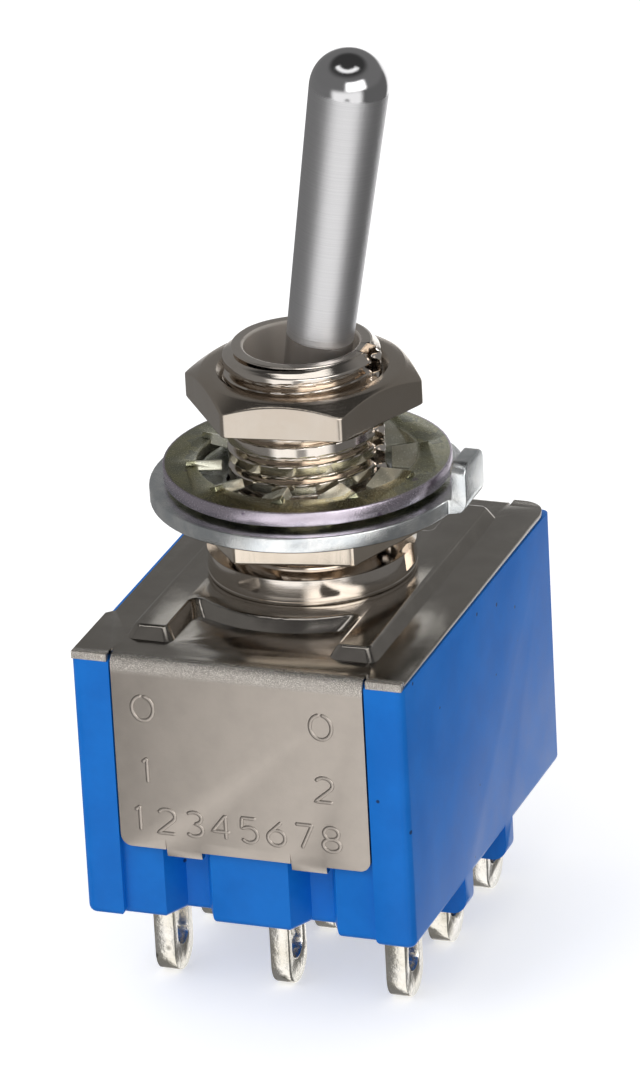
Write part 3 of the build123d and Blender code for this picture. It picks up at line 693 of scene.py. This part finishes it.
def tarnishedSilver():
    material, tree, shader = newMaterial("tarnishedSilver", 1.0, 0.28)
    where = millimetres(tree)
    tone = useGroup(tree, mottle, Vector=where, Scale=0.9, Grain=14.0)
    dull = math2(tree, "MULTIPLY", tone.outputs["Cloud"], 0.35)
    base = mixColour(tree, dull, tint(*lugLook["silver"]), tint(*lugLook["tarnish"]))
    dark = useGroup(tree, spots, Vector=where, Scale=1.3, Size=0.3, Share=0.35)
    base = mixColour(tree, math2(tree, "MULTIPLY", dark.outputs["Mask"], 0.8), base, tint(*lugLook["spot"]))
    tree.links.new(base, shader.inputs["Base Color"])
    rough = math2(tree, "ADD", 0.15, math2(tree, "MULTIPLY", tone.outputs["Grain"], 0.12))
    tree.links.new(rough, shader.inputs["Roughness"])
    height = math2(tree, "ADD", tone.outputs["Grain"], math2(tree, "MULTIPLY", tone.outputs["Cloud"], 14.0))
    bumped(tree, shader, height, 0.002 * mm, 0.7)
    return material


lugSilver = tarnishedSilver()
for name in sorted(nodes):
    if name.startswith("terminal_"):
        place(easedCopy(name, lugLook["edge"], 2), "root", lugSilver, name)
print("lugs done")


# The pieces sealed inside keep the model's own meshes and get only a material.
def plainInner(name, colour, second, metallic, roughness):
    material, tree, shader = newMaterial(name, metallic, roughness)
    where = millimetres(tree)
    tone = useGroup(tree, mottle, Vector=where, Scale=1.2, Grain=20.0)
    tree.links.new(mixColour(tree, tone.outputs["Cloud"], tint(*colour), tint(*second)), shader.inputs["Base Color"])
    tree.links.new(math2(tree, "ADD", roughness - 0.05, math2(tree, "MULTIPLY", tone.outputs["Grain"], 0.1)),
                   shader.inputs["Roughness"])
    bumped(tree, shader, tone.outputs["Grain"], 0.004 * mm, 0.4)
    return material


# A longer name stands before the shorter one it starts with.
innerLooks = {
    "drive_bar": plainInner("naturalAcetal", (232, 228, 214), (222, 216, 200), 0.0, 0.45),
    "plunger_spring": plainInner("springWire", (190, 190, 192), (160, 160, 164), 1.0, 0.25),
    "plunger": plainInner("turnedBrass", (214, 180, 110), (190, 154, 88), 1.0, 0.25),
    "rocker": plainInner("silveredCopper", (216, 210, 200), (196, 176, 140), 1.0, 0.3),
}
for name, node in nodes.items():
    kind = next((key for key in innerLooks if name.startswith(key)), None)
    if kind:
        node.data.materials.clear()
        node.data.materials.append(innerLooks[kind])
print("inner pieces done")

# Directions are azimuth from the front and elevation; low tones lie below the horizon.
studio = {
    "floorZ": cadBox[0][2], "floorHalf": 3.0, "floorTone": 0.82, "floorGlow": 0.5, "even": 0.80, "evenRight": 0.42,
    "lowFront": (-30, 56), "lowBack": (160, 208), "soft": 16, "white": 1.3, "left": 0.22, "right": 0.16,
    "room": 0.21, "overhead": 0.25, "ceiling": 1.4, "panel": (60, 70), "panelSide": (-70, 90),
    "frontAz": (12, 70), "frontEl": (6, 31), "frontTone": 3.0, "lens": (13, -22, 10, 0.30),
    "lamps": (
        ("key", (-28, 42, 0.42), 0.16, 3.2),
        ("side", (70, 40, 0.40), 0.16, 0.4),
    ),
    "aim": (0.0, 0.0, -0.002),
}
camera = {
    "at": (98.70057, -255.64484, 115.88670), "turn": (66.46629682, 2.81927365, 19.81607496),
    "lens": 7856.54 / 1069 * 36,
}


def studioFloor():
    half = studio["floorHalf"]
    mesh = bpy.data.meshes.new("studioFloor")
    corners = [(-half, -half), (half, -half), (half, half), (-half, half)]
    mesh.from_pydata([(x, y, studio["floorZ"]) for x, y in corners], [], [(0, 1, 2, 3)])
    floor = bpy.data.objects.new("studioFloor", mesh)
    bpy.context.scene.collection.objects.link(floor)
    material, tree, shader = newMaterial("paleFloor", 0.0, 0.9)
    tone = studio["floorTone"]
    shader.inputs["Base Color"].default_value = (tone, tone, tone, 1)
    shader.inputs["Specular IOR Level"].default_value = 0.0
    light = tree.nodes.new("ShaderNodeLightPath")
    seen = math2(tree, "MAXIMUM", light.outputs["Is Camera Ray"],
                 math2(tree, "MAXIMUM", light.outputs["Is Glossy Ray"], light.outputs["Is Transmission Ray"]))
    shader.inputs["Emission Color"].default_value = (1, 1, 1, 1)
    tree.links.new(math2(tree, "MULTIPLY", seen, studio["floorGlow"]), shader.inputs["Emission Strength"])
    mesh.materials.append(material)
    floor.visible_glossy = False
    return floor


def lamp(name, spot, size, radiance):
    azimuth, elevation, reach = spot
    a, e = math.radians(azimuth), math.radians(elevation)
    at = Vector((math.sin(a) * math.cos(e), -math.cos(a) * math.cos(e), math.sin(e))) * reach
    data = bpy.data.lights.new(name, "AREA")
    data.shape = "SQUARE"
    data.size = size
    data.energy = radiance * math.pi * size * size
    light = bpy.data.objects.new(name, data)
    light.visible_glossy = False
    bpy.context.scene.collection.objects.link(light)
    light.location = at + Vector(studio["aim"])
    light.rotation_euler = at.to_track_quat("Z", "Y").to_euler()
    return light


# A soft-edged window on an angle: 1 between two angles, 0 outside.
def window(tree, value, low, high, soft):
    rise = ranged(tree, value, low - soft / 2, low + soft / 2)
    fall = ranged(tree, value, high + soft / 2, high - soft / 2)
    return math2(tree, "MULTIPLY", rise, fall)


# Metal sees white paper low in front and behind, dark room at the sides and above, a ceiling
# panel and a white board in front; matt surfaces get a nearly even level, lower from the right.
def studioWorld():
    world = bpy.data.worlds.new("studioWorld")
    bpy.context.scene.world = world
    world.use_nodes = True
    tree = world.node_tree
    background = tree.nodes["Background"]
    coords = tree.nodes.new("ShaderNodeTexCoord")
    x, y, z = axisParts(tree, coords.outputs["Generated"])
    degree = 180 / math.pi
    azimuth = math2(tree, "MULTIPLY", math2(tree, "ARCTAN2", x, math2(tree, "MULTIPLY", y, -1.0)), degree)
    aroundBack = math2(tree, "ADD", azimuth, math2(tree, "MULTIPLY", math2(tree, "LESS_THAN", azimuth, -90.0), 360.0))
    elevation = math2(tree, "MULTIPLY", math2(tree, "ARCSINE", z), degree)
    front = window(tree, azimuth, *studio["lowFront"], studio["soft"])
    back = window(tree, aroundBack, *studio["lowBack"], studio["soft"])
    sideTone = ranged(tree, azimuth, -40, 60, studio["left"], studio["right"])
    low = math2(tree, "MAXIMUM", front, back)
    lowTone = math2(tree, "ADD", math2(tree, "MULTIPLY", low, studio["white"]),
                    math2(tree, "MULTIPLY", math2(tree, "SUBTRACT", 1.0, low), sideTone))
    lensAz, lensEl, lensSize, lensTone = studio["lens"]
    offAz = math2(tree, "SUBTRACT", azimuth, lensAz)
    offEl = math2(tree, "SUBTRACT", elevation, lensEl)
    lensMask = ranged(tree, radiusOf(tree, offAz, offEl), lensSize, lensSize * 0.5)
    lowTone = math2(tree, "MULTIPLY", lowTone,
                    math2(tree, "SUBTRACT", 1.0, math2(tree, "MULTIPLY", lensMask, 1 - lensTone)))
    rise = ranged(tree, elevation, -2, 12)
    panel = math2(tree, "MULTIPLY", window(tree, elevation, *studio["panel"], 4),
                  window(tree, azimuth, *studio["panelSide"], 10))
    board = math2(tree, "MULTIPLY", window(tree, azimuth, *studio["frontAz"], 14),
                  window(tree, elevation, *studio["frontEl"], 6))
    room = math2(tree, "MULTIPLY", ranged(tree, elevation, 38, 55, 1.0, studio["overhead"]), studio["room"])
    upTone = math2(tree, "ADD", room, math2(tree, "ADD", math2(tree, "MULTIPLY", panel, studio["ceiling"]),
                                            math2(tree, "MULTIPLY", board, studio["frontTone"])))
    tone = math2(tree, "ADD", math2(tree, "MULTIPLY", lowTone, math2(tree, "SUBTRACT", 1.0, rise)),
                 math2(tree, "MULTIPLY", upTone, rise))
    light = tree.nodes.new("ShaderNodeLightPath")
    mirror = math2(tree, "MAXIMUM", light.outputs["Is Glossy Ray"], light.outputs["Is Transmission Ray"])
    around = ranged(tree, x, 0.1, 0.9, studio["even"], studio["evenRight"])
    even = math2(tree, "ADD", math2(tree, "MULTIPLY", tone, mirror),
                 math2(tree, "MULTIPLY", math2(tree, "SUBTRACT", 1.0, mirror), around))
    seen = math2(tree, "MAXIMUM", even, light.outputs["Is Camera Ray"])
    tree.links.new(seen, background.inputs["Strength"])
    background.inputs["Color"].default_value = (1, 1, 1, 1)
    return world


studioFloor()
for lampName, spot, size, radiance in studio["lamps"]:
    lamp(lampName, spot, size, radiance)
studioWorld()
cameraData = bpy.data.cameras.new("camera")
cameraData.sensor_fit = "VERTICAL"
cameraData.sensor_height = 36
cameraData.lens = camera["lens"]
cameraData.clip_start = 0.01
cameraData.clip_end = 20
cameraObject = bpy.data.objects.new("camera", cameraData)
bpy.context.scene.collection.objects.link(cameraObject)
cameraObject.location = Vector(camera["at"]) * mm
cameraObject.rotation_euler = Euler([math.radians(a) for a in camera["turn"]], "XYZ")
bpy.context.scene.camera = cameraObject
bpy.context.scene.view_settings.view_transform = "Standard"
print("studio done")
